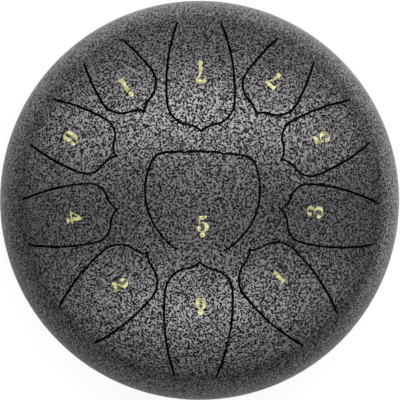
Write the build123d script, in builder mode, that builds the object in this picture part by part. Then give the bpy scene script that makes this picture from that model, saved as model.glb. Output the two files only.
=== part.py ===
from build123d import *
import os
from collections import namedtuple
from math import asin, cos, degrees, radians, sin, sqrt, tan

# A steel tongue drum: two pressed steel dishes welded together at the waist, eleven tongues cut free in
# the upper dish, a sound hole in the flat bottom of the lower dish, and four screwed rubber feet.
# The drum stands on z = 0 with its axis on Z. +X is the player's right, +Y points away from the player.
# All lengths are in millimetres, all angles in degrees.

# Sheet steel and the upper dish
wall = 1.8
shell_radius = 152.2
crown_radius = 300.0
upper_knuckle_radius = 40.0
upper_skirt_height = 7.0

# Lower dish with its sound hole, whose edge is turned up into the drum
lower_knuckle_radius = 55.5
lower_skirt_height = 7.0
sound_hole_radius = 36.0
sound_hole_bend_radius = 4.0
sound_hole_lip_height = 3.0

# Seam: the lower dish steps inward, its lip stands inside the upper skirt, and a weld fills the step
lip_height = 7.0
lip_clearance = 0.2
joggle_angle = 45
weld_crown = 0.3

# Slits: those of the ring end on one circle, and each tongue stands a hair clear of the sheet at its root
slit_width = 1.3
rim_margin = 19.2
root_gap = 0.1

# Outlines of the ring's tongues, as shares of the field radius, which is the circle that their slits end on:
# half width, distance of the widest place from the tip, shoulder radius, reach of the tip past the shoulders
wide_shares = (0.190, 0.250, 0.137, 0.035)
slim_shares = (0.168, 0.233, 0.105, 0.046)
short_shares = (0.167, 0.107, 0.128, 0.038)

# Angle between a tongue's middle line and its edge at the tip
wide_tip_angle = 43
slim_tip_angle = 34
short_tip_angle = 40

# The ring: the angle at which each tongue points outward from the drum's axis, and, as shares of the field
# radius, how far its tip is from the axis and how much each side draws in from the widest place to the root
ring_shares = [
    ("tongue_low_seven", 90.7, 0.368, 0.067, "wide"),
    ("tongue_seven", 57.6, 0.556, 0.046, "short"),
    ("tongue_five", 26.1, 0.489, 0.036, "slim"),
    ("tongue_three", -8.2, 0.440, 0.052, "slim"),
    ("tongue_one", -47.7, 0.387, 0.060, "wide"),
    ("tongue_low_six", -91.9, 0.353, 0.073, "wide"),
    ("tongue_two", -134.5, 0.428, 0.047, "wide"),
    ("tongue_four", -172.4, 0.472, 0.041, "slim"),
    ("tongue_six", 154.3, 0.529, 0.026, "slim"),
    ("tongue_high_one", 123.7, 0.580, 0.039, "short"),
]

# Tongue in the middle, a rounded shield with its root towards the player, in shares of the field radius:
# how far its far edge and its slit ends are from the axis, and its outline
middle_angle = -92.2
middle_tip_share = 0.256
middle_root_share = 0.314
middle_half_width_share = 0.317
middle_draw_in_share = 0.188
middle_belly_share = 0.212
middle_edge_radius_share = 1.80
middle_corner_radius_share = 0.088

# Rubber feet
foot_count = 4
foot_start_angle = 45
foot_height = 12.0
foot_base_radius = 9.5
foot_top_radius = 11.0
foot_edge_radius = 1.5
foot_grip = 4.0
pocket_clearance = 1.0

# Screws, washers and nuts of the feet
screw_radius = 2.0
screw_head_radius = 4.0
screw_head_height = 3.0
screw_head_edge_radius = 1.2
screw_recess_length = 4.4
screw_recess_width = 1.0
screw_recess_depth = 1.6
screw_end = 1.5
hole_clearance = 0.25
thread_clearance = 0.05
washer_radius = 4.5
washer_thickness = 0.8
nut_across_flats = 7.0
nut_height = 3.2

# Angle of the half plane that the sections of the dishes are drawn on, clear of the slits
section_angle = -28

# How far cutting shapes run past what they cut
overrun = 5.0

# Heights and places that follow from the sizes above
step_width = wall + lip_clearance
bottom_height = foot_height
waist_height = bottom_height + lower_knuckle_radius + lower_skirt_height
seam_height = waist_height + step_width / tan(radians(joggle_angle))
knuckle_height = seam_height + upper_skirt_height
crown_angle = degrees(asin((shell_radius - upper_knuckle_radius) / (crown_radius - upper_knuckle_radius)))
crown_centre_height = knuckle_height - (crown_radius - upper_knuckle_radius) * cos(radians(crown_angle))
top_height = crown_centre_height + crown_radius
field_radius = shell_radius - rim_margin
middle_tip_radius = field_radius * middle_tip_share
middle_edge_radius = field_radius * middle_edge_radius_share
middle_corner_radius = field_radius * middle_corner_radius_share
flat_radius = shell_radius - lower_knuckle_radius
foot_circle_radius = (sound_hole_radius + sound_hole_bend_radius + flat_radius) / 2
screw_seat_height = foot_height - foot_grip
washer_height = bottom_height + wall
nut_seat_height = washer_height + washer_thickness
screw_length = nut_seat_height + nut_height + screw_end - screw_seat_height
cut_height = top_height - seam_height + overrun

Shape = namedtuple("Shape", "half_width belly shoulder_radius tip_reach tip_angle")
Tongue = namedtuple("Tongue", "name angle tip_radius draw_in shape")
Side = namedtuple("Side", "root centre radius")


def shape_from_shares(shares, tip_angle):
    """Sizes of one outline on this drum's field."""
    return Shape(*[field_radius * share for share in shares], tip_angle)


shapes = {
    "wide": shape_from_shares(wide_shares, wide_tip_angle),
    "slim": shape_from_shares(slim_shares, slim_tip_angle),
    "short": shape_from_shares(short_shares, short_tip_angle),
}
ring_tongues = []
for name, angle, tip_share, draw_in_share, shape_name in ring_shares:
    tip_radius = field_radius * tip_share
    draw_in = field_radius * draw_in_share
    ring_tongues.append(Tongue(name, angle, tip_radius, draw_in, shapes[shape_name]))


def write_piece(piece, name):
    """Label a finished piece and write it to its own file."""
    piece.label = name
    export_step(piece, f"parts/{name}.step")


def level_plane(angle):
    """The level plane of the seam, with X at an angle seen from above."""
    x_dir = (cos(radians(angle)), sin(radians(angle)), 0)
    return Plane(origin=(0, 0, seam_height), x_dir=x_dir, z_dir=(0, 0, 1))


def section_plane(angle):
    """An upright half plane through the drum's axis, with X outward and Y up."""
    x_dir = (cos(radians(angle)), sin(radians(angle)), 0)
    z_dir = (sin(radians(angle)), -cos(radians(angle)), 0)
    return Plane(origin=(0, 0, 0), x_dir=x_dir, z_dir=z_dir)


def along(start, end, distance):
    """The point at a distance from start, on the line through end."""
    return start + (end - start).normalized() * distance


def circle_meeting(centre_1, radius_1, centre_2, radius_2):
    """The crossing of two circles that lies to the right of the line between their centres."""
    span = centre_2 - centre_1
    run = (radius_1**2 - radius_2**2 + span.length**2) / (2 * span.length)
    rise = sqrt(radius_1**2 - run**2)
    forward = span.normalized()
    return centre_1 + forward * run + Vector(forward.Y, -forward.X) * rise


def side_of_tongue(root_radius, half_width, draw_in, belly_x):
    """The arc that runs from a tongue's belly to its root: slit end, centre and radius."""
    root_y = half_width - draw_in
    root = Vector(sqrt(root_radius**2 - root_y**2), root_y)
    radius = ((root.X - belly_x) ** 2 + draw_in**2) / (2 * draw_in)
    return Side(root, Vector(belly_x, half_width - radius), radius)


def ring_side(tongue):
    """Side of a ring tongue."""
    belly_x = tongue.tip_radius + tongue.shape.belly
    return side_of_tongue(field_radius, tongue.shape.half_width, tongue.draw_in, belly_x)


def middle_side():
    """Side of the middle tongue."""
    belly_x = field_radius * middle_belly_share - middle_tip_radius
    root_radius = field_radius * middle_root_share
    half_width = field_radius * middle_half_width_share
    draw_in = field_radius * middle_draw_in_share
    return side_of_tongue(root_radius, half_width, draw_in, belly_x)


def height_on_arc(centre, radius, x):
    """Y of an arc at x, on the side away from the drum's axis line."""
    return centre.Y + sqrt(radius**2 - (x - centre.X) ** 2)


def ring_face(tongue, spread, root_run):
    """Face of a ring tongue, spread past the middle of its slit and closed root_run beyond its root."""
    shape = tongue.shape
    side = ring_side(tongue)
    tip = Vector(tongue.tip_radius, 0)
    shoulder_x = tip.X + shape.tip_reach + shape.shoulder_radius
    shoulder_y = height_on_arc(side.centre, side.radius - shape.shoulder_radius, shoulder_x)
    shoulder_centre = Vector(shoulder_x, shoulder_y)

    # The hollow beside the tip leaves the tip at the tip angle and runs smoothly into the shoulder
    normal = Vector(-sin(radians(shape.tip_angle)), cos(radians(shape.tip_angle)))
    reach = shoulder_centre - tip
    opening = shape.shoulder_radius + normal.dot(reach)
    hollow_radius = (reach.length**2 - shape.shoulder_radius**2) / (2 * opening)
    hollow_centre = tip + normal * hollow_radius

    tip_x = hollow_centre.X + sqrt((hollow_radius - spread) ** 2 - hollow_centre.Y**2)
    shoulder_start = along(shoulder_centre, hollow_centre, shape.shoulder_radius + spread)
    side_start = along(side.centre, shoulder_centre, side.radius + spread)
    end_x = side.root.X + root_run
    end_y = height_on_arc(side.centre, side.radius + spread, end_x)
    with BuildSketch(level_plane(tongue.angle)) as face:
        with BuildLine():
            RadiusArc((tip_x, 0), shoulder_start, spread - hollow_radius)
            RadiusArc(shoulder_start, side_start, shape.shoulder_radius + spread)
            RadiusArc(side_start, (end_x, end_y), side.radius + spread)
            mirror(about=Plane.XZ)
            Line((end_x, end_y), (end_x, -end_y))
        make_face()
    return face.sketch


def middle_face(spread, root_run):
    """Face of the middle tongue, spread past the middle of its slit and closed root_run beyond its root."""
    side = middle_side()
    edge_centre = Vector(middle_edge_radius - middle_tip_radius, 0)
    edge_reach = middle_edge_radius - middle_corner_radius
    corner_centre = circle_meeting(edge_centre, edge_reach, side.centre, side.radius - middle_corner_radius)
    corner_start = along(edge_centre, corner_centre, middle_edge_radius + spread)
    side_start = along(side.centre, corner_centre, side.radius + spread)
    end_x = side.root.X + root_run
    end_y = height_on_arc(side.centre, side.radius + spread, end_x)
    with BuildSketch(level_plane(middle_angle)) as face:
        with BuildLine():
            RadiusArc((-middle_tip_radius - spread, 0), corner_start, middle_edge_radius + spread)
            RadiusArc(corner_start, side_start, middle_corner_radius + spread)
            RadiusArc(side_start, (end_x, end_y), side.radius + spread)
            mirror(about=Plane.XZ)
            Line((end_x, end_y), (end_x, -end_y))
        make_face()
    return face.sketch


def slit_ends(angle, root):
    """The two round ends of a slit."""
    with BuildSketch(level_plane(angle)) as ends:
        with Locations((root.X, root.Y), (root.X, -root.Y)):
            Circle(slit_width / 2)
    return ends.sketch


os.makedirs("parts", exist_ok=True)

# Upper dish, still without slits
with BuildPart() as dish:
    with BuildSketch(section_plane(section_angle)) as dish_section:
        inner_radius = shell_radius - wall
        turn = Vector(sin(radians(crown_angle)), cos(radians(crown_angle)))
        crown_centre = Vector(0, crown_centre_height)
        outer_turn = crown_centre + turn * crown_radius
        inner_turn = crown_centre + turn * (crown_radius - wall)
        with BuildLine():
            RadiusArc((0, top_height), outer_turn, crown_radius)
            RadiusArc(outer_turn, (shell_radius, knuckle_height), upper_knuckle_radius)
            Polyline(
                (shell_radius, knuckle_height),
                (shell_radius, seam_height),
                (inner_radius, seam_height),
                (inner_radius, knuckle_height),
            )
            RadiusArc((inner_radius, knuckle_height), inner_turn, wall - upper_knuckle_radius)
            RadiusArc(inner_turn, (0, top_height - wall), wall - crown_radius)
            Line((0, top_height - wall), (0, top_height))
        make_face()
    revolve(axis=Axis.Z)

# Faces of the tongues, and of the openings that their slits leave in the dish
half_slit = slit_width / 2
tongue_faces = []
opening_faces = []
for tongue in ring_tongues:
    tongue_faces.append((tongue.name, ring_face(tongue, -half_slit, 0)))
    opening_faces.append(ring_face(tongue, half_slit, root_gap))
    opening_faces.append(slit_ends(tongue.angle, ring_side(tongue).root))
tongue_faces.append(("tongue_low_five", middle_face(-half_slit, 0)))
opening_faces.append(middle_face(half_slit, root_gap))
opening_faces.append(slit_ends(middle_angle, middle_side().root))

# Upper dish with its openings
with BuildPart() as upper_shell:
    add(dish.part)
    for opening in opening_faces:
        extrude(opening, amount=cut_height, mode=Mode.SUBTRACT)
write_piece(upper_shell.part, "upper_shell")

# Tongues, cut from the same sheet
for name, blade in tongue_faces:
    with BuildPart() as tongue_piece:
        add(dish.part)
        extrude(blade, amount=cut_height, mode=Mode.INTERSECT)
    write_piece(tongue_piece.part, name)

# Lower dish: sound hole with its turned-up edge, flat bottom, knuckle, skirt and stepped lip
with BuildPart() as lower_shell:
    with BuildSketch(section_plane(section_angle)) as lower_section:
        hole_turn = sound_hole_radius + sound_hole_bend_radius
        bend_height = bottom_height + sound_hole_bend_radius
        hole_top = bend_height + sound_hole_lip_height
        bottom_knuckle_height = bottom_height + lower_knuckle_radius
        lip_radius = shell_radius - step_width
        lip_top = seam_height + lip_height
        step_drop = wall * tan(radians(joggle_angle / 2))
        with BuildLine():
            Line((sound_hole_radius, hole_top), (sound_hole_radius, bend_height))
            RadiusArc((sound_hole_radius, bend_height), (hole_turn, bottom_height), -sound_hole_bend_radius)
            Line((hole_turn, bottom_height), (flat_radius, bottom_height))
            RadiusArc(
                (flat_radius, bottom_height),
                (shell_radius, bottom_knuckle_height),
                -lower_knuckle_radius,
            )
            Polyline(
                (shell_radius, bottom_knuckle_height),
                (shell_radius, waist_height),
                (lip_radius, seam_height),
                (lip_radius, lip_top),
                (lip_radius - wall, lip_top),
                (lip_radius - wall, seam_height - step_drop),
                (shell_radius - wall, waist_height - step_drop),
                (shell_radius - wall, bottom_knuckle_height),
            )
            RadiusArc(
                (shell_radius - wall, bottom_knuckle_height),
                (flat_radius, bottom_height + wall),
                lower_knuckle_radius - wall,
            )
            Line((flat_radius, bottom_height + wall), (hole_turn, bottom_height + wall))
            RadiusArc(
                (hole_turn, bottom_height + wall),
                (sound_hole_radius + wall, bend_height),
                sound_hole_bend_radius - wall,
            )
            Line((sound_hole_radius + wall, bend_height), (sound_hole_radius + wall, hole_top))
            Line((sound_hole_radius + wall, hole_top), (sound_hole_radius, hole_top))
        make_face()
    revolve(axis=Axis.Z)
    with BuildSketch(Plane.XY.offset(bottom_height)):
        with PolarLocations(foot_circle_radius, foot_count, start_angle=foot_start_angle):
            Circle(screw_radius + hole_clearance)
    extrude(amount=wall, mode=Mode.SUBTRACT)
write_piece(lower_shell.part, "lower_shell")

# Weld that fills the step between the two dishes, slightly crowned
with BuildPart() as seam_weld:
    with BuildSketch(section_plane(section_angle)) as weld_section:
        weld_middle = (shell_radius + weld_crown, (waist_height + seam_height) / 2)
        with BuildLine():
            Polyline(
                (shell_radius, waist_height),
                (shell_radius - step_width, seam_height),
                (shell_radius, seam_height),
            )
            ThreePointArc((shell_radius, seam_height), weld_middle, (shell_radius, waist_height))
        make_face()
    revolve(axis=Axis.Z)
write_piece(seam_weld.part, "seam_weld")

# Rubber feet, each with a pocket for its screw's head
foot_names = ["foot_rear_right", "foot_rear_left", "foot_front_left", "foot_front_right"]
foot_places = PolarLocations(foot_circle_radius, foot_count, start_angle=foot_start_angle).local_locations
for name, place in zip(foot_names, foot_places):
    with BuildPart() as foot:
        with Locations(place):
            Cone(
                foot_base_radius,
                foot_top_radius,
                foot_height,
                align=(Align.CENTER, Align.CENTER, Align.MIN),
            )
        fillet(foot.edges().sort_by(Axis.Z)[0], foot_edge_radius)
        with Locations(Plane(origin=place.position, z_dir=(0, 0, -1))):
            CounterBoreHole(
                screw_radius + hole_clearance,
                screw_head_radius + pocket_clearance,
                screw_seat_height,
                foot_height,
            )
    write_piece(foot.part, name)

# Screws, head down in the pockets, with a cross recess
with BuildPart() as foot_screws:
    with BuildSketch(Plane.XY.offset(screw_seat_height)):
        with PolarLocations(foot_circle_radius, foot_count, start_angle=foot_start_angle):
            Circle(screw_radius)
    extrude(amount=screw_length)
    with BuildSketch(Plane.XY.offset(screw_seat_height)):
        with PolarLocations(foot_circle_radius, foot_count, start_angle=foot_start_angle):
            Circle(screw_head_radius)
    extrude(amount=-screw_head_height)
    fillet(foot_screws.edges().filter_by(GeomType.CIRCLE).group_by(Axis.Z)[0], screw_head_edge_radius)
    with BuildSketch(Plane.XY.offset(screw_seat_height - screw_head_height)):
        with PolarLocations(foot_circle_radius, foot_count, start_angle=foot_start_angle):
            Rectangle(screw_recess_length, screw_recess_width)
            Rectangle(screw_recess_width, screw_recess_length)
    extrude(amount=screw_recess_depth, mode=Mode.SUBTRACT)
write_piece(foot_screws.part, "foot_screws")

# Washers inside the drum
with BuildPart() as foot_washers:
    with BuildSketch(Plane.XY.offset(washer_height)):
        with PolarLocations(foot_circle_radius, foot_count, start_angle=foot_start_angle):
            Circle(washer_radius)
            Circle(screw_radius + hole_clearance, mode=Mode.SUBTRACT)
    extrude(amount=washer_thickness)
write_piece(foot_washers.part, "foot_washers")

# Hexagon nuts on the washers
with BuildPart() as foot_nuts:
    with BuildSketch(Plane.XY.offset(nut_seat_height)):
        with PolarLocations(foot_circle_radius, foot_count, start_angle=foot_start_angle):
            RegularPolygon(nut_across_flats / 2, 6, major_radius=False)
            Circle(screw_radius + thread_clearance, mode=Mode.SUBTRACT)
    extrude(amount=nut_height)
write_piece(foot_nuts.part, "foot_nuts")
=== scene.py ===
from collections import namedtuple
from math import acos, asin, atan2, ceil, cos, degrees, pi, radians, sin, sqrt, tan

import bpy
import numpy as np
from mathutils import Matrix, Vector
from mathutils.geometry import delaunay_2d_cdt
from mathutils.kdtree import KDTree


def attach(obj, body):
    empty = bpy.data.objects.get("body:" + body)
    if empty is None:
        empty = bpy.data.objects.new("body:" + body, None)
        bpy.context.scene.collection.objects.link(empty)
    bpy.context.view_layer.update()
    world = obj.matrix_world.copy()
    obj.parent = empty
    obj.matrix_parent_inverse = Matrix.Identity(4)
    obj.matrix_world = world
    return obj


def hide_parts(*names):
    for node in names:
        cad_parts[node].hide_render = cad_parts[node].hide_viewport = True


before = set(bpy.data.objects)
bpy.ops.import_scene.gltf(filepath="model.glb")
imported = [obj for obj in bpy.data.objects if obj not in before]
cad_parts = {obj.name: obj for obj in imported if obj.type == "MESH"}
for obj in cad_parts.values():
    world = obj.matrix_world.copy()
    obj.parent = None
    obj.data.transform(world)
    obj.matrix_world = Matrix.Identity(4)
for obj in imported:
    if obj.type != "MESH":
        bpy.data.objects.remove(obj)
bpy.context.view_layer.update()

# A steel tongue drum seen straight from above. Lengths of the drum are in millimetres and become metres when
# a mesh is made; angles are in degrees. The sizes of the dishes and slits are those of the CAD model. Lengths
# in the materials and of the floor, lamps and camera are in metres.
MM = 0.001

wall = 1.8
shell_radius = 152.2
crown_radius = 300.0
upper_knuckle_radius = 40.0
upper_skirt_height = 7.0
lower_knuckle_radius = 55.5
lower_skirt_height = 7.0
sound_hole_radius = 36.0
sound_hole_bend_radius = 4.0
sound_hole_lip_height = 3.0
lip_height = 7.0
lip_clearance = 0.2
weld_crown = 0.3
slit_width = 1.3
rim_margin = 19.2
foot_count = 4
foot_height = 12.0
foot_base_radius = 9.5
foot_top_radius = 11.0
foot_edge_radius = 1.5
foot_grip = 4.0
foot_pocket_radius = 5.0
screw_hole_radius = 2.25

step_width = wall + lip_clearance
step_slope = 45.0
bottom_height = foot_height
waist_height = bottom_height + lower_knuckle_radius + lower_skirt_height
seam_height = waist_height + step_width
knuckle_height = seam_height + upper_skirt_height
knuckle_centre_radius = shell_radius - upper_knuckle_radius
crown_angle = asin(knuckle_centre_radius / (crown_radius - upper_knuckle_radius))
crown_centre_height = knuckle_height - (crown_radius - upper_knuckle_radius) * cos(crown_angle)
field_radius = shell_radius - rim_margin
flat_radius = shell_radius - lower_knuckle_radius
foot_circle_radius = (sound_hole_radius + sound_hole_bend_radius + flat_radius) / 2

# What the meshing adds: rounded slit edges, the spacing of points and the steps of arcs. The split radius is
# where the field with its openings ends and the plain rim begins, and the clearance is the share of their
# spacing that the field's points keep from an edge.
edge_round = 0.4
edge_steps = 3
edge_spacing = 0.9
field_spacing = 3.0
field_clearance = 0.55
split_radius = 138.0
flat_spacing = 9.0
turn_count = 360
least_arc_steps = 4
rim_steps = 23
knuckle_steps = 32
bend_steps = 8
screw_hole_count = 24
cap_count = 8
chord_count = 16
# Room at a tongue's root, so that its end does not press into the dish when it flexes
root_room = 0.02
# Edges sharper than this are not shaded smooth, on the drum and on its feet
sharp_angle = 40
foot_sharp_angle = 35
# Guards against a division by zero, points that fall together and corners that are drawn in too far
tiny = 1e-9
same_point = 1e-6
least_stretch = 0.5

# The weld's scales, and the fine forms of the moulded feet
weld_scales = 420
weld_scale_steps = 6
weld_scale_depth = 0.45
weld_steps = 8
weld_toe = 0.5
foot_turns = 72
foot_edge_steps = 8
foot_rim_steps = 5
tread_edge = 0.4
tread_edge_steps = 3
tread_width = 0.5
tread_depth = 0.5
parting_height = 0.3
parting_rise = 0.12

# Tongue outlines as shares of the field radius, as in the CAD model: half width, widest place, shoulder and
# tip reach, and the angle beside the tip
Shape = namedtuple("Shape", "half_width belly shoulder reach tip_angle")
shapes = {
    "wide": Shape(0.190, 0.250, 0.137, 0.035, radians(43)),
    "slim": Shape(0.168, 0.233, 0.105, 0.046, radians(34)),
    "short": Shape(0.167, 0.107, 0.128, 0.038, radians(40)),
}
# Name, angle, tip radius share, draw-in share, shape
ring = [
    ("tongue_low_seven", 90.7, 0.368, 0.067, "wide"),
    ("tongue_seven", 57.6, 0.556, 0.046, "short"),
    ("tongue_five", 26.1, 0.489, 0.036, "slim"),
    ("tongue_three", -8.2, 0.440, 0.052, "slim"),
    ("tongue_one", -47.7, 0.387, 0.060, "wide"),
    ("tongue_low_six", -91.9, 0.353, 0.073, "wide"),
    ("tongue_two", -134.5, 0.428, 0.047, "wide"),
    ("tongue_four", -172.4, 0.472, 0.041, "slim"),
    ("tongue_six", 154.3, 0.529, 0.026, "slim"),
    ("tongue_high_one", 123.7, 0.580, 0.039, "short"),
]
middle_angle = -92.2
middle_tip = 0.256
middle_root = 0.314
middle_half_width = 0.317
middle_draw_in = 0.188
middle_belly = 0.212
middle_edge_radius = 1.80
middle_corner_radius = 0.088
# The middle tongue's far edge has low lobes: places and depths of the dips between them, the dips' width, the
# lobes' rise and where they end
lobe_dips = [(0.0, 0.4), (14.3, 1.05)]
lobe_dip_width = 2.1
lobe_rise = 0.22
lobe_end = 25.0

# Gold numerals: height of the foil above the paint, its soft edge and its hidden foot
foil_rise = 0.14
foil_edge = 0.07
foil_foot = 0.05
foil_spacing = 1.2
dot_points = 28
curve_steps = 8
# The numeral that is rubbed off at its top, and the places along Y where that begins and is over
worn_numeral = "tongue_low_six"
worn_places = (-77.0, -70.5)

# Outlines of the digits in hundredths of their height. Each path starts at a point, goes on by lines (two
# numbers) and curves (two handles and the end point), and closes by itself. A second path is a hole.
glyphs = {
    "1": [
        [(0, 0), (56, 0), (56, 4), (42, 5, 39, 8, 39, 14), (39, 100), (34, 100), (28, 93, 16, 89, 5, 88),
         (5, 84), (13, 84), (17, 84, 18, 82, 18, 76), (18, 14), (18, 8, 14, 5, 0, 4)],
    ],
    "2": [
        [(4, 70), (4, 88, 18, 100, 36, 100), (56, 100, 68, 88, 68, 73), (68, 56, 54, 47, 38, 37),
         (28, 33, 23, 29, 19, 24), (25, 27, 32, 27, 39, 25), (47, 22, 54, 20, 59, 22),
         (63, 24, 65, 28, 66, 34), (69, 34), (69, 14, 66, 0, 54, 0), (44, 0, 38, 6, 24, 6),
         (15, 6, 9, 4, 6, 0), (2, 0), (2, 16, 12, 28, 24, 38), (36, 48, 45, 58, 45, 74),
         (45, 88, 40, 95, 31, 95), (25, 95, 20, 92, 20, 89), (20, 85, 26, 82, 26, 73),
         (26, 65, 21, 60, 15, 60), (8, 60, 4, 64, 4, 70)],
    ],
    "3": [
        [(6, 75), (6, 90, 20, 100, 36, 100), (54, 100, 64, 90, 64, 76), (64, 64, 56, 57, 46, 54),
         (60, 50, 69, 42, 69, 28), (69, 10, 54, 0, 34, 0), (14, 0, 2, 9, 2, 22), (2, 30, 7, 35, 13, 35),
         (20, 35, 24, 30, 24, 24), (24, 17, 18, 15, 18, 11), (18, 7, 25, 4, 32, 4),
         (41, 4, 46, 13, 46, 28), (46, 43, 41, 51, 31, 51), (24, 51), (24, 55), (31, 55),
         (39, 55, 43, 63, 43, 76), (43, 90, 40, 96, 33, 96), (28, 96, 23, 94, 23, 90),
         (23, 86, 28, 84, 28, 76), (28, 69, 23, 64, 17, 64), (10, 64, 6, 69, 6, 75)],
    ],
    "4": [
        [(46, 100), (57, 100), (57, 34), (69, 34), (69, 27), (57, 27), (57, 12), (57, 7, 61, 5, 69, 4),
         (69, 0), (26, 0), (26, 4), (35, 5, 38, 7, 38, 12), (38, 27), (0, 27), (0, 33)],
        [(8, 34), (38, 34), (38, 78)],
    ],
    "5": [
        [(18, 98), (63, 98), (62, 86, 54, 76, 40, 75), (23, 75), (19, 53), (25, 58, 34, 60, 40, 59),
         (56, 58, 68, 47, 68, 31), (68, 12, 54, 0, 34, 0), (16, 0, 2, 10, 2, 24), (2, 32, 7, 37, 13, 37),
         (20, 37, 24, 32, 24, 26), (24, 19, 19, 16, 18, 13), (17, 8, 24, 4, 32, 4),
         (42, 4, 46, 14, 46, 31), (46, 47, 41, 55, 33, 55), (26, 55, 20, 51, 17, 45), (14, 46)],
    ],
    "6": [
        [(66, 76), (66, 90, 56, 100, 42, 100), (18, 100, 1, 76, 1, 46), (1, 18, 14, 0, 35, 0),
         (56, 0, 69, 14, 69, 32), (69, 50, 57, 62, 42, 62), (34, 62, 28, 58, 25, 53),
         (25, 80, 32, 96, 42, 96), (47, 96, 50, 94, 50, 91), (50, 87, 45, 84, 45, 76),
         (45, 70, 50, 66, 56, 66), (62, 66, 66, 70, 66, 76)],
        [(36, 56), (43, 56, 46, 46, 46, 30), (46, 14, 43, 4, 35, 4), (28, 4, 25, 14, 25, 30),
         (25, 46, 28, 56, 36, 56)],
    ],
    "7": [
        [(0, 100), (66, 100), (67, 95), (58, 78, 50, 66, 46, 48), (44, 36, 47, 22, 49, 12),
         (51, 3, 44, 0, 37, 0), (30, 0, 25, 4, 25, 13), (26, 40, 38, 62, 52, 81), (19, 81),
         (11, 81, 9, 73, 7, 57), (0, 57)],
    ],
}
# Tongue, digit, its place along the tongue and across it from the drum's axis, tilt, height and width, and
# the place and radius of a dot
numerals = [
    ("tongue_low_seven", "7", 91.8, -0.5, -5, 13.5, 8.0, (100.4, -0.2, 1.9)),
    ("tongue_seven", "7", 103.4, 1.2, -11, 13.1, 8.8, None),
    ("tongue_five", "5", 99.6, 1.1, -2, 11.9, 8.6, None),
    ("tongue_three", "3", 83.9, 2.3, -1, 12.0, 8.9, None),
    ("tongue_one", "1", 80.6, 3.0, 3, 11.1, 6.9, None),
    ("tongue_low_six", "6", 76.2, 1.7, 4, 11.4, 7.7, (83.8, 1.9, 2.05)),
    ("tongue_two", "2", 87.2, 1.6, -19, 11.6, 7.5, None),
    ("tongue_four", "4", 95.1, 1.1, 3, 11.4, 8.8, None),
    ("tongue_six", "6", 106.6, 1.5, -11, 12.0, 8.2, None),
    ("tongue_high_one", "1", 101.3, 1.0, -2, 11.3, 7.6, (93.0, 0.7, 1.95)),
    ("tongue_low_five", "5", 18.9, 0.8, 6, 11.7, 8.8, (26.9, 1.2, 1.95)),
]

Arc = namedtuple("Arc", "centre radius sign start end lobes", defaults=[False])


class Surface:
    """Collects points, their normals and faces, and makes a mesh object of them."""

    def __init__(self):
        self.points, self.normals, self.faces = [], [], []
        self.count = 0

    def add(self, points, normals):
        """Adds points and returns their indices."""
        self.points.append(np.asarray(points, float))
        self.normals.append(np.asarray(normals, float))
        start = self.count
        self.count += len(points)
        return np.arange(start, self.count)

    def strip(self, first, second, closed=False):
        """Quads between two rows of points."""
        last = len(first) if closed else len(first) - 1
        for i in range(last):
            j = (i + 1) % len(first)
            self.faces.append((first[i], first[j], second[j], second[i]))

    def ring(self, radius, height, around):
        """Adds a level ring of points."""
        points = np.column_stack([around * radius, np.full(len(around), height)])
        return self.add(points, points)

    def make(self, name, material, sharp=None):
        """The finished object, with its own normals or, if an angle is given, smooth up to that angle."""
        mesh = bpy.data.meshes.new(name)
        points = np.concatenate(self.points) * MM
        mesh.from_pydata(points.tolist(), [], [tuple(int(i) for i in face) for face in self.faces])
        mesh.polygons.foreach_set("use_smooth", np.ones(len(mesh.polygons), bool))
        if sharp is None:
            normals = np.concatenate(self.normals)
            normals /= np.linalg.norm(normals, axis=1)[:, None]
            mesh.normals_split_custom_set_from_vertices(normals.tolist())
        else:
            mesh.set_sharp_from_angle(angle=radians(sharp))
        mesh.materials.append(material)
        piece = bpy.data.objects.new(name, mesh)
        bpy.context.scene.collection.objects.link(piece)
        return piece


def dome(plan, depth):
    """Points and upward normals of the upper dish's outside, or of the face that lies a depth below it."""
    plan = np.asarray(plan, float)
    r = np.hypot(plan[:, 0], plan[:, 1])
    crown = crown_radius - depth
    knuckle = upper_knuckle_radius - depth
    on_crown = r <= crown * sin(crown_angle)
    past = np.clip(r - knuckle_centre_radius, 0, knuckle)
    crown_z = crown_centre_height + np.sqrt(crown**2 - np.clip(r, 0, crown) ** 2)
    knuckle_z = knuckle_height + np.sqrt(knuckle**2 - past**2)
    z = np.where(on_crown, crown_z, knuckle_z)
    lean = np.where(on_crown, r / crown, past / knuckle)
    out = plan / np.maximum(r, tiny)[:, None]
    normals = np.column_stack([out * lean[:, None], np.sqrt(1 - lean**2)])
    return np.column_stack([plan, z]), normals


def angle_of(vector):
    """Angle of a plan vector in radians."""
    return atan2(vector[1], vector[0])


def side_of(root_radius, half_width, draw_in, belly_x):
    """Slit end, centre and radius of the arc from a tongue's widest place to its root."""
    root_y = half_width - draw_in
    root = np.array([sqrt(root_radius**2 - root_y**2), root_y])
    radius = ((root[0] - belly_x) ** 2 + draw_in**2) / (2 * draw_in)
    return root, np.array([belly_x, half_width - radius]), radius


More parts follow.
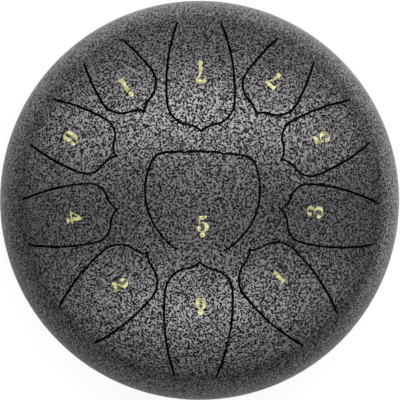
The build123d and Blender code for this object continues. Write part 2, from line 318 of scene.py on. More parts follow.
def ring_arcs(tip_share, draw_in_share, shape):
    """The middle of the slit along one half of a ring tongue, from tip to root, as arcs."""
    tip = np.array([field_radius * tip_share, 0.0])
    belly_x = tip[0] + field_radius * shape.belly
    half_width = field_radius * shape.half_width
    root, centre, radius = side_of(field_radius, half_width, field_radius * draw_in_share, belly_x)
    shoulder_radius = field_radius * shape.shoulder
    shoulder_x = tip[0] + field_radius * shape.reach + shoulder_radius
    shoulder_y = centre[1] + sqrt((radius - shoulder_radius) ** 2 - (shoulder_x - centre[0]) ** 2)
    shoulder = np.array([shoulder_x, shoulder_y])
    normal = np.array([-sin(shape.tip_angle), cos(shape.tip_angle)])
    reach = shoulder - tip
    hollow_radius = (reach @ reach - shoulder_radius**2) / (2 * (shoulder_radius + normal @ reach))
    hollow = tip + normal * hollow_radius
    turn = angle_of(shoulder - hollow)
    side_turn = angle_of(shoulder - centre)
    arcs = [
        Arc(hollow, hollow_radius, -1, angle_of(tip - hollow), turn),
        Arc(shoulder, shoulder_radius, 1, turn + pi, side_turn),
        Arc(centre, radius, 1, side_turn, angle_of(root - centre)),
    ]
    return arcs, root


def middle_arcs():
    """The middle of the slit along one half of the middle tongue, from its far edge to its root, as arcs."""
    tip = field_radius * middle_tip
    edge_radius = field_radius * middle_edge_radius
    corner_radius = field_radius * middle_corner_radius
    root, centre, radius = side_of(
        field_radius * middle_root,
        field_radius * middle_half_width,
        field_radius * middle_draw_in,
        field_radius * middle_belly - tip,
    )
    edge_centre = np.array([edge_radius - tip, 0.0])
    reach_1 = edge_radius - corner_radius
    reach_2 = radius - corner_radius
    span = centre - edge_centre
    length = np.linalg.norm(span)
    run = (reach_1**2 - reach_2**2 + length**2) / (2 * length)
    forward = span / length
    corner = edge_centre + forward * run + np.array([forward[1], -forward[0]]) * sqrt(reach_1**2 - run**2)
    turn_1 = angle_of(corner - edge_centre)
    turn_2 = angle_of(corner - centre)
    arcs = [
        Arc(edge_centre, edge_radius, 1, pi, turn_1, True),
        Arc(corner, corner_radius, 1, turn_1, turn_2),
        Arc(centre, radius, 1, turn_2, angle_of(root - centre)),
    ]
    return arcs, root


def half_edge(arcs, offset):
    """Points at an offset outward from the middle of the slit, and the outward normals, from tip to root."""
    points, normals = [], []
    for number, arc in enumerate(arcs):
        radius = arc.radius + arc.sign * offset
        start = arc.start
        if number == 0 and arc.sign < 0:
            start = -acos(-arc.centre[0] / radius + tip_on_axis(arc, radius) / radius)
        count = max(least_arc_steps, ceil(abs(arc.end - arc.start) * arc.radius / edge_spacing))
        turns = np.linspace(start, arc.end, count + 1)[0 if number == 0 else 1:]
        out = np.column_stack([np.cos(turns), np.sin(turns)])
        reach = np.full(len(turns), radius)
        if arc.lobes:
            reach += swell(out[:, 1] * radius)
        points.append(arc.centre + out * reach[:, None])
        normals.append(out * arc.sign)
    return np.concatenate(points), np.concatenate(normals)


def swell(across):
    """How far the middle tongue's far edge swells outward, at places measured across from its middle line."""
    rise = lobe_rise * np.clip((lobe_end - across) / (lobe_end - lobe_dips[-1][0]), 0, 1)
    for place, depth in lobe_dips:
        rise -= depth * np.exp(-(((across - place) / lobe_dip_width) ** 2))
    return rise


def tip_on_axis(arc, radius):
    """Where the hollow beside the tip meets the tongue's middle line."""
    return arc.centre[0] + sqrt(radius**2 - arc.centre[1] ** 2)


def whole_edge(arcs, offset):
    """The whole edge from the upper slit end over the tip to the lower one."""
    points, normals = half_edge(arcs, offset)
    flip = np.array([1, -1])
    mid = np.array([[-1.0, 0.0]])
    return (
        np.concatenate([points[:0:-1], points[:1] * [1, 0], points[1:] * flip]),
        np.concatenate([normals[:0:-1], mid, normals[1:] * flip]),
    )


def opening_edge(arcs, root, offset):
    """Edge of the opening in the dish with the slit's round ends, and its normals away from the slit."""
    points, normals = whole_edge(arcs, offset)
    start = angle_of(normals[0])
    turns = np.linspace(start - pi, start, cap_count + 1)[:-1]
    cap = np.column_stack([np.cos(turns), np.sin(turns)])
    flip = np.array([1, -1])
    points = np.concatenate([root + cap * offset, points, (root + cap * offset)[::-1] * flip])
    normals = np.concatenate([cap, normals, cap[::-1] * flip])
    return points, normals


def turned(plan, angle):
    """Plan points or normals turned about the drum's axis."""
    c, s = cos(radians(angle)), sin(radians(angle))
    return plan @ np.array([[c, s], [-s, c]])


def chord(first, last):
    """Points between two slit ends, without the ends."""
    shares = np.linspace(0, 1, chord_count + 1)[1:-1, None]
    return first + (last - first) * shares


def fill(loops, spacing):
    """Triangles inside the first loop and outside the rest, with points spread over the field between them.
    Returns the points, the triangles and each loop's row of points."""
    edge = np.concatenate(loops)
    tree = KDTree(len(edge))
    for i, point in enumerate(edge):
        tree.insert((point[0], point[1], 0), i)
    tree.balance()
    low, high = edge.min(0), edge.max(0)
    rows = np.arange(low[1], high[1], spacing * sqrt(3) / 2)
    field = []
    for number, y in enumerate(rows):
        for x in np.arange(low[0] + (number % 2) * spacing / 2, high[0], spacing):
            if tree.find((x, y, 0))[2] > spacing * field_clearance:
                field.append((x, y))
    coords = [Vector(p) for p in edge] + [Vector(p) for p in field]
    faces, start = [], 0
    for loop in loops:
        numbers = list(range(start, start + len(loop)))
        faces.append(numbers if area_of(loop) > 0 else numbers[::-1])
        start += len(loop)
    verts, _, triangles, origin, _, inside = delaunay_2d_cdt(coords, [], faces, 0, same_point)
    points = np.array([[v.x, v.y] for v in verts])
    where = {old: new for new, olds in enumerate(origin) for old in olds}
    kept = []
    for triangle, within in zip(triangles, inside):
        if set(within) == {0}:
            a, b, c = points[triangle[0]], points[triangle[1]], points[triangle[2]]
            area = (b[0] - a[0]) * (c[1] - a[1]) - (b[1] - a[1]) * (c[0] - a[0])
            kept.append(tuple(triangle) if area > 0 else tuple(reversed(triangle)))
    rows, start = [], 0
    for loop in loops:
        rows.append([where[start + i] for i in range(len(loop))])
        start += len(loop)
    used = sorted({i for triangle in kept for i in triangle})
    new = {old: i for i, old in enumerate(used)}
    return (
        points[used],
        [tuple(new[i] for i in triangle) for triangle in kept],
        [[new[i] for i in row] for row in rows],
    )


def edge_ring(step):
    """Offset of the slit's edge, depth below the face and turn, at one step of the rounding."""
    turn = radians(90) * step / edge_steps
    return slit_width / 2 + edge_round * (1 - sin(turn)), edge_round * (1 - cos(turn)), turn


def slit_wall(surface, edge_at, toward_slit, top, bottom):
    """Rounded edges and wall of a slit and the flat face across the root, between the edges of both faces."""
    length = len(top) - (chord_count - 1)
    rows = [top[:length]]
    for depth, rows_of_face in ((0.0, range(1, edge_steps + 1)), (wall, range(edge_steps, 0, -1))):
        for step in rows_of_face:
            offset, drop, turn = edge_ring(step)
            plan, normal = edge_at(offset)
            points, up = dome(plan, depth)
            face = 1 if depth == 0 else -1
            points[:, 2] -= face * drop
            level = np.column_stack([normal * toward_slit, np.zeros(len(normal))])
            rows.append(surface.add(points, up * face * cos(turn) + level * sin(turn)))
    rows.append(bottom[:length])
    chords = [top[length - 1:] + top[:1], bottom[length - 1:] + bottom[:1]]
    if toward_slit > 0:
        rows.reverse()
        chords.reverse()
    for a, b in zip(rows, rows[1:]):
        surface.strip(a, b)
    surface.strip(*chords)
    surface.faces.append(tuple(row[-1] for row in reversed(rows)))
    surface.faces.append(tuple(row[0] for row in rows))


def two_faces(surface, plan, triangles):
    """Outer and inner face of the sheet over the same plan. Returns the first index of each."""
    outer, up = dome(plan, 0)
    inner, down = dome(plan, wall)
    first = surface.add(outer, up)[0]
    second = surface.add(inner, -down)[0]
    for a, b, c in triangles:
        surface.faces.append((first + a, first + b, first + c))
        surface.faces.append((second + c, second + b, second + a))
    return first, second


tongue_table = []
for name, angle, tip_share, draw_in_share, shape_name in ring:
    arcs, root = ring_arcs(tip_share, draw_in_share, shapes[shape_name])
    tongue_table.append((name, angle, arcs, root))
arcs, root = middle_arcs()
tongue_table.append(("tongue_low_five", middle_angle, arcs, root))


def make_upper_shell(material):
    """Upper dish: the field with its openings, then knuckle, skirt and the way back inside."""
    around = circle(turn_count)
    offset = edge_ring(0)[0]
    loops = [around * split_radius]
    for _, angle, arcs, root in tongue_table:
        points, _ = opening_edge(arcs, root, offset)
        loops.append(turned(np.concatenate([points, chord(points[-1], points[0])]), angle))
    plan, triangles, rows = fill(loops, field_spacing)
    surface = Surface()
    first, second = two_faces(surface, plan, triangles)
    for (_, angle, arcs, root), row in zip(tongue_table, rows[1:]):
        def edge_at(offset):
            points, normals = opening_edge(arcs, root, offset)
            return turned(points, angle), turned(normals, angle)
        slit_wall(surface, edge_at, -1, [first + i for i in row], [second + i for i in row])

    # Knuckle and skirt outside, the skirt's lower edge, and back up inside to the field
    def knuckle_rows(depth):
        radius = upper_knuckle_radius - depth
        start = asin((split_radius - knuckle_centre_radius) / radius)
        result = []
        for turn in np.linspace(start, pi / 2, rim_steps + 1)[1:]:
            r = knuckle_centre_radius + radius * sin(turn)
            result.append((r, knuckle_height + radius * cos(turn), sin(turn), cos(turn)))
        result.append((knuckle_centre_radius + radius, seam_height, 1.0, 0.0))
        return result

    inner = [(r, z, -x, -y) for r, z, x, y in knuckle_rows(wall)]
    last = [first + i for i in rows[0]]
    for r, z, x, y in knuckle_rows(0) + inner[::-1]:
        points = np.column_stack([around * r, np.full(turn_count, z)])
        normals = np.column_stack([around * x, np.full(turn_count, y)])
        row = surface.add(points, normals)
        surface.strip(row, last, closed=True)
        last = row
    surface.strip([second + i for i in rows[0]], last, closed=True)
    return surface.make("drum_upper_dish", material)


def make_tongue(name, angle, arcs, material):
    """One tongue, cut from the same sheet as the dish."""
    def edge_at(offset):
        points, normals = whole_edge(arcs, -offset)
        points[[0, -1], 0] -= root_room
        return turned(points, angle), turned(normals, angle)
    points, _ = edge_at(edge_ring(0)[0])
    loop = np.concatenate([points, chord(points[-1], points[0])])
    plan, triangles, rows = fill([loop], field_spacing)
    surface = Surface()
    first, second = two_faces(surface, plan, triangles)
    slit_wall(surface, edge_at, 1, [first + i for i in rows[0]], [second + i for i in rows[0]])
    return surface.make(name.replace("tongue", "blade"), material)


def circle(count, start=0.0):
    """Points of a unit circle."""
    turns = np.arange(count) * 2 * pi / count + start
    return np.column_stack([np.cos(turns), np.sin(turns)])


foot_places = circle(foot_count, pi / 4) * foot_circle_radius


def arc_points(centre, radius, start, end, count):
    """Points of an arc in a section, angles in degrees from the radial direction."""
    turns = np.radians(np.linspace(start, end, count + 1))
    return [(centre[0] + radius * cos(t), centre[1] + radius * sin(t)) for t in turns]


def lathe(surface, profile, around, first=None, last=None):
    """Turns a section into rows and joins them, from a row that is there to another that is there."""
    row = first
    for radius, height in profile:
        new = surface.ring(radius, height, around)
        if row is not None:
            surface.strip(row, new, closed=True)
        row = new
    if last is not None:
        surface.strip(row, last, closed=True)


def make_lower_shell(material):
    """Lower dish: flat bottom with its screw holes, turned-up sound hole, knuckle, skirt and stepped lip."""
    around = circle(turn_count)
    hole_turn = sound_hole_radius + sound_hole_bend_radius
    loops = [around * flat_radius, around * hole_turn]
    loops += [foot + circle(screw_hole_count) * screw_hole_radius for foot in foot_places]
    plan, triangles, rows = fill(loops, flat_spacing)
    surface = Surface()
    inside_height = bottom_height + wall
    no_normals = np.zeros((len(plan), 3))
    below = surface.add(np.column_stack([plan, np.full(len(plan), bottom_height)]), no_normals)[0]
    above = surface.add(np.column_stack([plan, np.full(len(plan), inside_height)]), no_normals)[0]
    for a, b, c in triangles:
        surface.faces.append((below + c, below + b, below + a))
        surface.faces.append((above + a, above + b, above + c))
    for row in rows[2:]:
        surface.strip([above + i for i in row], [below + i for i in row], closed=True)

    knuckle = (flat_radius, bottom_height + lower_knuckle_radius)
    step_drop = wall * tan(radians(step_slope) / 2)
    lip_radius = shell_radius - step_width
    lip_top = seam_height + lip_height
    outside = arc_points(knuckle, lower_knuckle_radius, -90, 0, knuckle_steps)[1:]
    outside += [
        (shell_radius, waist_height),
        (lip_radius, seam_height),
        (lip_radius, lip_top),
        (lip_radius - wall, lip_top),
        (lip_radius - wall, seam_height - step_drop),
        (shell_radius - wall, waist_height - step_drop),
    ]
    outside += arc_points(knuckle, lower_knuckle_radius - wall, 0, -90, knuckle_steps)[:-1]
    lathe(surface, outside, around, [below + i for i in rows[0]], [above + i for i in rows[0]])

    bend = (hole_turn, bottom_height + sound_hole_bend_radius)
    hole_top = bend[1] + sound_hole_lip_height - wall / 2
    hole = arc_points(bend, sound_hole_bend_radius, -90, -180, bend_steps)[1:]
    hole += arc_points((sound_hole_radius + wall / 2, hole_top), wall / 2, 180, 0, bend_steps)
    hole += arc_points(bend, sound_hole_bend_radius - wall, -180, -90, bend_steps)[:-1]
    lathe(surface, hole[::-1], around, [above + i for i in rows[1]], [below + i for i in rows[1]])
    return surface.make("drum_lower_dish", material, sharp=sharp_angle)


def make_weld(material):
    """The weld bead round the waist, with the scales that the torch leaves and a fine groove at each toe."""
    count = weld_scales * weld_scale_steps
    around = circle(count)
    phase = (np.arange(count) % weld_scale_steps) / weld_scale_steps
    scale = 1 - weld_scale_depth * phase**2
    surface = Surface()
    rows = []
    for share in np.linspace(0, 1, weld_steps + 1):
        bulge = (weld_crown + weld_toe) * 4 * share * (1 - share) * scale - weld_toe
        height = waist_height + weld_toe + (seam_height - waist_height - weld_toe) * share
        points = np.column_stack([around * (shell_radius + bulge)[:, None], np.full(count, height)])
        rows.append(surface.add(points, points))
    rows.append(surface.ring(shell_radius - step_width, seam_height, around))
    for first, second in zip(rows, rows[1:] + rows[:1]):
        surface.strip(first, second, closed=True)
    return surface.make("drum_weld", material, sharp=sharp_angle)


def make_foot(name, place, material):
    """A moulded rubber foot: screw pocket, ringed tread, rounded lower edge and a fine parting line."""
    lean = atan2(foot_top_radius - foot_base_radius, foot_height)
    turn_end = -degrees(lean)
    inset = foot_base_radius + tan(lean) * foot_edge_radius - foot_edge_radius / cos(lean)

    def side(height):
        return foot_base_radius + (foot_top_radius - foot_base_radius) * height / foot_height

    profile = [
        (screw_hole_radius, foot_height),
        (screw_hole_radius, foot_height - foot_grip),
        (foot_pocket_radius, foot_height - foot_grip),
    ]
    pocket_edge = (foot_pocket_radius + tread_edge, tread_edge)
    profile += arc_points(pocket_edge, tread_edge, 180, 270, tread_edge_steps)
    groove = (foot_pocket_radius + inset) / 2
    profile += [
        (groove - tread_width, 0.0),
        (groove - tread_width / 2, tread_depth),
        (groove + tread_width / 2, tread_depth),
        (groove + tread_width, 0.0),
    ]
    profile += arc_points((inset, foot_edge_radius), foot_edge_radius, -90, turn_end, foot_edge_steps)
    half = foot_height / 2
    profile += [
        (side(half - parting_height), half - parting_height),
        (side(half) + parting_rise, half),
        (side(half + parting_height), half + parting_height),
    ]
    rim = side(foot_height) - tread_edge
    profile += arc_points((rim, foot_height - tread_edge), tread_edge, turn_end, 90, foot_rim_steps)
    around = circle(foot_turns)
    surface = Surface()
    rows = [surface.ring(radius, height, around) for radius, height in profile]
    for first, second in zip(rows, rows[1:] + rows[:1]):
        surface.strip(first, second, closed=True)
    for points in surface.points:
        points[:, :2] += place
    return surface.make(name, material, sharp=foot_sharp_angle)


def path_points(path):
    """Points of a path of lines and curves."""
    points = [np.array(path[0], float)]
    for part in path[1:]:
        a, end = points[-1], np.array(part[-2:], float)
        if len(part) == 2:
            points.append(end)
            continue
        b, c = np.array(part[:2], float), np.array(part[2:4], float)
        for t in np.linspace(0, 1, curve_steps + 1)[1:]:
            points.append(a * (1 - t) ** 3 + 3 * b * t * (1 - t) ** 2 + 3 * c * t**2 * (1 - t) + end * t**3)
    if np.linalg.norm(points[-1] - points[0]) < same_point:
        points.pop()
    return np.array(points)


def drawn_in(loop, inset):
    """A closed outline drawn in by an inset, to the left of its run."""
    before = loop - np.roll(loop, 1, axis=0)
    after = np.roll(loop, -1, axis=0) - loop
    before /= np.linalg.norm(before, axis=1)[:, None]
    after /= np.linalg.norm(after, axis=1)[:, None]
    left = np.column_stack([-(before + after)[:, 1], (before + after)[:, 0]])
    stretch = np.maximum(1 + np.sum(before * after, axis=1), least_stretch)[:, None]
    return loop + left * inset / stretch


def area_of(loop):
    """Signed area of a closed outline."""
    nxt = np.roll(loop, -1, axis=0)
    return np.sum(loop[:, 0] * nxt[:, 1] - nxt[:, 0] * loop[:, 1]) / 2


def foil(surface, loops):
    """Raised gold foil over closed outlines, the first of which may have a hole."""
    loops = [loop if (area_of(loop) > 0) == (i == 0) else loop[::-1] for i, loop in enumerate(loops)]
    inner = [drawn_in(loop, foil_edge) for loop in loops]
    plan, triangles, rows = fill(inner, foil_spacing)

    def lifted(points, rise):
        placed, up = dome(points, 0)
        return surface.add(placed + up * rise, up)

    top = lifted(plan, foil_rise)[0]
    base = lifted(plan, -foil_foot)[0]
    for a, b, c in triangles:
        surface.faces.append((top + a, top + b, top + c))
        surface.faces.append((base + c, base + b, base + a))
    for loop, row in zip(loops, rows):
        shoulder = lifted(loop, foil_rise - foil_edge)
        foot = lifted(loop, -foil_foot)
        edges = [[top + i for i in row], shoulder, foot, [base + i for i in row]]
        for upper_edge, lower_edge in zip(edges, edges[1:]):
            surface.strip(lower_edge, upper_edge, closed=True)


def make_numeral(name, angle, digit, along, across, tilt, height, width, dot, material):
    """A digit, with its dot if it has one, its top towards the middle of the drum."""
    out = np.array([cos(radians(angle)), sin(radians(angle))])
    left = np.array([-out[1], out[0]])
    paths = [path_points(path) for path in glyphs[digit]]
    low, high = paths[0].min(0), paths[0].max(0)
    placed = []
    for path in paths:
        local = turned((path - (low + high) / 2) / (high - low) * (width, height), tilt)
        placed.append(out * along + left * across - local[:, 1:] * out + local[:, :1] * left)
    surface = Surface()
    foil(surface, placed)
    if dot is not None:
        foil(surface, [out * dot[0] + left * dot[1] + circle(dot_points) * dot[2]])
    return surface.make(name, material, sharp=sharp_angle)


class Nodes:
    """Short ways to build a node tree."""

    def __init__(self, tree):
        self.tree = tree

    def add(self, kind, settings=None, **inputs):
        """A node with its settings, and its inputs as values or linked sockets."""
        node = self.tree.nodes.new("ShaderNode" + kind)
        for key, value in (settings or {}).items():
            setattr(node, key, value)
        for key, value in inputs.items():
            self.feed(node.inputs[key], value)
        return node

    def feed(self, socket, value):
        """Sets a socket to a value, or links it to another socket."""
        if isinstance(value, bpy.types.NodeSocket):
            self.tree.links.new(value, socket)
        else:
            socket.default_value = value

    def math(self, operation, first, second):
        node = self.add("Math", {"operation": operation})
        self.feed(node.inputs[0], first)
        self.feed(node.inputs[1], second)
        return node.outputs[0]

    def vector(self, operation, *values):
        """The outputs of a vector operation, a vector and a value."""
        node = self.add("VectorMath", {"operation": operation})
        for socket, value in zip(node.inputs, values):
            self.feed(socket, value)
        return node.outputs

    def mix_shaders(self, share, first, second):
        node = self.add("MixShader", Fac=share)
        self.feed(node.inputs[1], first)
        self.feed(node.inputs[2], second)
        return node.outputs[0]

    def between(self, value, low, high, to_low=0.0, to_high=1.0, smooth=True):
        """A value carried from one range to another."""
        settings = {"interpolation_type": "SMOOTHSTEP" if smooth else "LINEAR"}
        node = self.add("MapRange", settings, Value=value)
        for key, number in (("From Min", low), ("From Max", high), ("To Min", to_low), ("To Max", to_high)):
            self.feed(node.inputs[key], number)
        return node.outputs[0]

    def colors(self, value, stops):
        """A colour ramp: places and linear colours."""
        node = self.add("ValToRGB", Fac=value)
        ramp = node.color_ramp
        while len(ramp.elements) < len(stops):
            ramp.elements.new(0.5)
        for element, (place, color) in zip(ramp.elements, stops):
            element.position = place
            element.color = (*color, 1)
        return node.outputs["Color"]

    def noise(self, vector, scale, detail=2.0, roughness=0.5):
        node = self.add("TexNoise", Vector=vector, Scale=scale, Detail=detail, Roughness=roughness)
        return node.outputs["Fac"]

    def bump(self, height, distance):
        return self.add("Bump", Height=height, Distance=distance, Strength=1.0).outputs["Normal"]


def material_with_nodes(name):
    """A new material: itself, its nodes, its shader and its object coordinates."""
    material = bpy.data.materials.new(name)
    material.use_nodes = True
    nodes = Nodes(material.node_tree)
    shader = material.node_tree.nodes["Principled BSDF"]
    return material, nodes, shader, nodes.add("TexCoord").outputs["Object"]


def outside_of_painted_slit_shade(nodes, place):
    """0 on the walls of the slits and inside the dome, where painted shade darkens the paint so that the
    slits read black, and 1 elsewhere.
    Each pair is where a soft step begins and ends."""
    field_end = (0.129, 0.1315)
    dome_foot = (0.1, 0.102)
    facing_up = (0.78, 0.87)
    normal = nodes.add("SeparateXYZ", Vector=nodes.add("NewGeometry").outputs["Normal"]).outputs
    plan = nodes.vector("MULTIPLY", place, (1.0, 1.0, 0.0))["Vector"]
    radius = nodes.vector("LENGTH", plan)["Value"]
    height = nodes.add("SeparateXYZ", Vector=place).outputs["Z"]
    rim = nodes.between(radius, *field_end)
    below = nodes.between(height, *dome_foot, 1.0, 0.0)
    face = nodes.between(normal["Z"], *facing_up)
    return nodes.math("MAXIMUM", nodes.math("MAXIMUM", face, rim), below)


def hammered_paint():
    """Hammered-look paint: a light metallic skin full of small dark pits, as it draws together in drying."""
    warp_scale = 420.0
    warp_reach = (0.0025, 0.0025, 0.0025)
    cell_scale = 720.0
    swell_scale = 760.0
    swell_share = 0.35
    grain_scale = 1500.0
    grain_share = 0.4
    skin_range = (0.62, 0.95)
    tone_range = (0.79, 1.0)
    peel_scale = 260.0
    peel_share = 0.7
    cell_relief = 0.05
    relief_depth = 0.0003
    roughness_range = (0.34, 0.38)
    metallic = 0.95
    material, nodes, shader, place = material_with_nodes("shell_paint")
    warp = nodes.add("TexNoise", Vector=place, Scale=warp_scale, Detail=1.0).outputs["Color"]
    shifted = nodes.vector("MULTIPLY_ADD", warp, warp_reach, place)["Vector"]
    cells = nodes.add("TexVoronoi", Vector=shifted, Scale=cell_scale).outputs["Distance"]
    swells = nodes.noise(place, swell_scale, detail=0.0)
    grain = nodes.noise(place, grain_scale, detail=1.0)
    height = nodes.math("ADD", cells, nodes.math("MULTIPLY", swells, swell_share))
    height = nodes.math("ADD", height, nodes.math("MULTIPLY", grain, grain_share))
    skin = nodes.between(height, *skin_range)
    tone = nodes.between(height, *tone_range, smooth=False)
    # Painted shade: the paint goes dark on the slit walls and inside the dome, so that the slits read black
    tone = nodes.math("MULTIPLY", tone, outside_of_painted_slit_shade(nodes, place))
    peel = nodes.noise(place, peel_scale, detail=0.0)
    relief = nodes.math("ADD", skin, nodes.math("MULTIPLY", peel, peel_share))
    relief = nodes.math("ADD", relief, nodes.math("MULTIPLY", cells, cell_relief))
    color = nodes.colors(tone, [
        (0.0, (0.008, 0.008, 0.0082)),
        (0.22, (0.03, 0.0295, 0.0306)),
        (0.5, (0.14, 0.134, 0.142)),
        (1.0, (0.25, 0.24, 0.253)),
    ])
    nodes.feed(shader.inputs["Base Color"], color)
    nodes.feed(shader.inputs["Roughness"], nodes.between(skin, 0.0, 1.0, *roughness_range))
    shader.inputs["Metallic"].default_value = metallic
    nodes.feed(shader.inputs["Normal"], nodes.bump(relief, relief_depth))
    return material


def gold_foil(name, worn=None):
    """Pale gold of the numerals, laid on unevenly, with the metal's sheen painted in as paler patches, and
    rubbed off from one place along Y to another if these are given."""
    sheen_patch_scale = 300.0
    sheen_patch_range = (0.36, 0.62)
    fleck_scale = 1100.0
    rub_range = (0.95, 1.15)
    most_rubbed = 0.85
    bare_color = (0.07, 0.066, 0.06, 1)
    roughness_range = (0.6, 0.45)
    metallic = 0.1
    relief_depth = 0.0001
    material, nodes, shader, place = material_with_nodes(name)
    patches_and_sheen = nodes.noise(place, sheen_patch_scale, roughness=0.6)
    # Painted highlights: the pale stops stand in for the foil's metal sheen, the ochre ones for its duller
    # parts
    color = nodes.colors(patches_and_sheen, [
        (0.36, (0.36, 0.327, 0.115)),
        (0.50, (0.575, 0.556, 0.238)),
        (0.62, (0.86, 0.86, 0.43)),
    ])
    if worn is not None:
        along = nodes.add("SeparateXYZ", Vector=place).outputs["Y"]
        rubbed = nodes.between(along, worn[0] * MM, worn[1] * MM, smooth=False)
        flecks = nodes.noise(place, fleck_scale, detail=1.0)
        gone = nodes.between(nodes.math("ADD", rubbed, flecks), *rub_range, 0.0, most_rubbed)
        # The node's two colours are its inputs 6 and 7, and the mixed one is its output 2
        mix = nodes.add("Mix", {"data_type": "RGBA"})
        nodes.feed(mix.inputs["Factor"], gone)
        nodes.feed(mix.inputs[6], color)
        nodes.feed(mix.inputs[7], bare_color)
        color = mix.outputs[2]
    nodes.feed(shader.inputs["Base Color"], color)
    nodes.feed(shader.inputs["Roughness"], nodes.between(patches_and_sheen, *sheen_patch_range, *roughness_range))
    shader.inputs["Metallic"].default_value = metallic
    nodes.feed(shader.inputs["Normal"], nodes.bump(patches_and_sheen, relief_depth))
    return material


def moulded_rubber():
    """Black rubber with a fine moulded grain, greyer where it has been rubbed."""
    bloom_scale = 160.0
    bloom_range = (0.3, 0.7)
    roughness_range = (0.58, 0.78)
    grain_scale = 2600.0
    grain_depth = 0.00006
    material, nodes, shader, place = material_with_nodes("foot_rubber")
    bloom = nodes.noise(place, bloom_scale, detail=3.0, roughness=0.6)
    grain = nodes.noise(place, grain_scale)
    color = nodes.colors(bloom, [
        (0.35, (0.012, 0.012, 0.0125)),
        (0.65, (0.032, 0.032, 0.033)),
    ])
    nodes.feed(shader.inputs["Base Color"], color)
    nodes.feed(shader.inputs["Roughness"], nodes.between(bloom, *bloom_range, *roughness_range))
    nodes.feed(shader.inputs["Normal"], nodes.bump(grain, grain_depth))
    return material


def zinc_plate():
    """Bright zinc plating: cloudy, with the fine lines that turning and rolling leave."""
    cloud_scale = 700.0
    cloud_range = (0.3, 0.7)
    roughness_range = (0.24, 0.42)
    line_scale = (300.0, 300.0, 9000.0)
    line_depth = 0.00003
    material, nodes, shader, place = material_with_nodes("fastener_zinc")
    clouds = nodes.noise(place, cloud_scale, detail=3.0, roughness=0.6)
    level = nodes.vector("MULTIPLY", place, line_scale)["Vector"]
    lines = nodes.noise(level, scale=1.0)
    color = nodes.colors(clouds, [
        (0.3, (0.5, 0.52, 0.55)),
        (0.7, (0.68, 0.68, 0.66)),
    ])
    nodes.feed(shader.inputs["Base Color"], color)
    nodes.feed(shader.inputs["Roughness"], nodes.between(clouds, *cloud_range, *roughness_range))
    shader.inputs["Metallic"].default_value = 1.0
    nodes.feed(shader.inputs["Normal"], nodes.bump(lines, line_depth))
    return material


paint = hammered_paint()
rubber = moulded_rubber()
zinc = zinc_plate()
for name in ("foot_screws", "foot_washers", "foot_nuts"):
    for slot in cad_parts[name].material_slots:
        slot.material = zinc


def place_piece(piece, body, node):
    """Lets a piece ride on a body and stand for a CAD node."""
    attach(piece, body)
    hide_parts(node)


place_piece(make_upper_shell(paint), "drum", "upper_shell")
for name, angle, arcs, _ in tongue_table:
    place_piece(make_tongue(name, angle, arcs, paint), name, name)
place_piece(make_lower_shell(paint), "drum", "lower_shell")
place_piece(make_weld(paint), "drum", "seam_weld")
foot_names = ["foot_rear_right", "foot_rear_left", "foot_front_left", "foot_front_right"]
for name, place in zip(foot_names, foot_places):
    place_piece(make_foot(name.replace("foot", "rubber_foot"), place, rubber), "drum", name)

angles = {name: angle for name, angle, *_ in tongue_table}
gold = gold_foil("numeral_gold")
worn_gold = gold_foil("numeral_gold_worn", worn_places)
for name, *facts in numerals:
    finish = worn_gold if name == worn_numeral else gold
    numeral = make_numeral(name.replace("tongue", "numeral"), angles[name], *facts, finish)
    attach(numeral, name)

white = (1, 1, 1, 1)


def sees_background(nodes):
    """1 for the rays that show the background: from the camera, and mirrored or let through by a piece."""
    path = nodes.add("LightPath").outputs
    either = nodes.math("MAXIMUM", path["Is Camera Ray"], path["Is Glossy Ray"])
    return nodes.math("MAXIMUM", either, path["Is Transmission Ray"])


def floor_material():
    """Pale floor: plain for the light it throws back and under the drum, white with a soft shadow where it is
    seen round it. Pieces mirror it brighter behind the drum than in front of it, as in the photograph."""
    plain_color = (0.8, 0.8, 0.8, 1)
    seen_color = (0.37, 0.37, 0.37, 1)
    drum_edge = (0.05, 0.155)
    open_reach = (0.4, 1.6)
    open_glow = (0.75, 0.92)
    mirror_slant = 0.5
    mirror_reach = (-0.4, 0.4)
    mirror_glow = (0.15, 1.0)
    material = bpy.data.materials.new("floor")
    material.use_nodes = True
    nodes = Nodes(material.node_tree)
    material.node_tree.nodes.remove(material.node_tree.nodes["Principled BSDF"])
    plain = nodes.add("BsdfDiffuse", Color=plain_color).outputs[0]
    dim = nodes.add("BsdfDiffuse", Color=seen_color).outputs[0]
    spot = nodes.add("TexCoord").outputs["Object"]
    radius = nodes.vector("LENGTH", spot)["Value"]
    beside = nodes.between(radius, *drum_edge)
    place = nodes.add("SeparateXYZ", Vector=spot).outputs
    across = nodes.math("MULTIPLY", place["X"], mirror_slant)
    mirrored = nodes.between(nodes.math("ADD", across, place["Y"]), *mirror_reach, *mirror_glow)
    glossy = nodes.add("LightPath").outputs["Is Glossy Ray"]
    open_floor = nodes.between(radius, *open_reach, *open_glow)
    strength = nodes.between(glossy, 0.0, 1.0, open_floor, mirrored, smooth=False)
    glow = nodes.add("Emission", Color=white, Strength=strength).outputs[0]
    seen = nodes.add("AddShader")
    nodes.feed(seen.inputs[0], dim)
    nodes.feed(seen.inputs[1], glow)
    share = nodes.math("MULTIPLY", sees_background(nodes), beside)
    choice = nodes.mix_shaders(share, plain, seen.outputs[0])
    nodes.feed(material.node_tree.nodes["Material Output"].inputs["Surface"], choice)
    return material


half_floor = 6.0
floor_corners = [(x * half_floor, y * half_floor, 0) for x, y in ((-1, -1), (1, -1), (1, 1), (-1, 1))]
floor_mesh = bpy.data.meshes.new("floor")
floor_mesh.from_pydata(floor_corners, [], [(0, 1, 2, 3)])
floor_mesh.materials.append(floor_material())
floor = bpy.data.objects.new("floor", floor_mesh)
bpy.context.scene.collection.objects.link(floor)

# The point that the lamps and the camera face, at the height where the upper dish is widest
aim = Vector((0, 0, 0.0835))


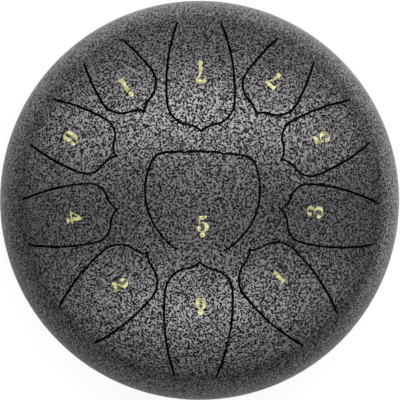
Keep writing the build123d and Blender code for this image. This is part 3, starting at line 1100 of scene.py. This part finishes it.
def softbox(name, start, end, height, depth, radiance):
    """A long rectangular lamp from one plan point to another, which faces the drum."""
    start, end = Vector((*start, height)), Vector((*end, height))
    data = bpy.data.lights.new(name, "AREA")
    data.shape = "RECTANGLE"
    data.size = (end - start).length
    data.size_y = depth
    data.energy = radiance * pi * data.size * depth
    lamp = bpy.data.objects.new(name, data)
    lamp.location = (start + end) / 2
    along = (end - start).normalized()
    back = lamp.location - aim
    back = (back - along * back.dot(along)).normalized()
    lamp.rotation_euler = Matrix((along, back.cross(along), back)).transposed().to_euler()
    bpy.context.scene.collection.objects.link(lamp)


lamp_height = 1.8
# Name, plan points of the ends, depth and radiance: bent rows behind the drum and before it, and weak ones
# beside it
lamps = [
    ("rear_left", (-1.9, 0.79), (-0.8, 0.93), 0.32, 5.4),
    ("rear_middle", (-0.8, 0.93), (0.8, 0.93), 0.32, 7.4),
    ("rear_right", (0.8, 0.93), (1.9, 0.79), 0.32, 7.0),
    ("front_left", (-2.0, -0.95), (-0.9, -1.14), 0.36, 2.4),
    ("front_middle", (-0.9, -1.14), (0.9, -1.14), 0.36, 6.0),
    ("front_right", (0.9, -1.14), (2.0, -0.95), 0.36, 3.4),
    ("left", (-1.7, -0.5), (-1.7, 0.5), 0.35, 0.6),
    ("right", (1.7, -0.5), (1.7, 0.5), 0.35, 0.75),
]
for name, start, end, depth, radiance in lamps:
    softbox(name, start, end, lamp_height, depth, radiance)
overhead_height = 2.1
overhead_depth = 1.0
overhead_radiance = 0.55
softbox("overhead", (-0.5, 0), (0.5, 0), overhead_height, overhead_depth, overhead_radiance)

# Weak light from all round; where the background shows, white up to the horizon and dimmer walls above it
ambient_strength = 0.25
horizon = (0.03, 0.12)
rear_wall = (0.0, 0.8)
wall_strength = (0.02, 0.3)
world = bpy.data.worlds.new("world")
bpy.context.scene.world = world
world.use_nodes = True
nodes = Nodes(world.node_tree)
ambient = world.node_tree.nodes["Background"]
ambient.inputs["Color"].default_value = white
ambient.inputs["Strength"].default_value = ambient_strength
direction = nodes.add("SeparateXYZ", Vector=nodes.add("TexCoord").outputs["Generated"]).outputs
wall_light = nodes.between(direction["Y"], *rear_wall, *wall_strength)
backdrop_light = nodes.between(direction["Z"], *horizon, 1.0, wall_light)
backdrop = nodes.add("Background", Color=white, Strength=backdrop_light)
choice = nodes.mix_shaders(sees_background(nodes), ambient.outputs[0], backdrop.outputs[0])
nodes.feed(world.node_tree.nodes["World Output"].inputs["Surface"], choice)

# Camera, as the photograph was taken: from straight above, a little left of the drum and towards the player
camera_place = (-0.041, -0.034, 1.5835)
camera_lens = 176.9
sensor_width = 36.0
camera_data = bpy.data.cameras.new("camera")
camera_data.sensor_width = sensor_width
camera_data.lens = camera_lens
camera = bpy.data.objects.new("camera", camera_data)
camera.location = camera_place
back = (camera.location - aim).normalized()
right = Vector((0, 1, 0)).cross(back).normalized()
camera.rotation_euler = Matrix((right, back.cross(right), back)).transposed().to_euler()
bpy.context.scene.collection.objects.link(camera)
bpy.context.scene.camera = camera
bpy.context.scene.view_settings.view_transform = "Standard"
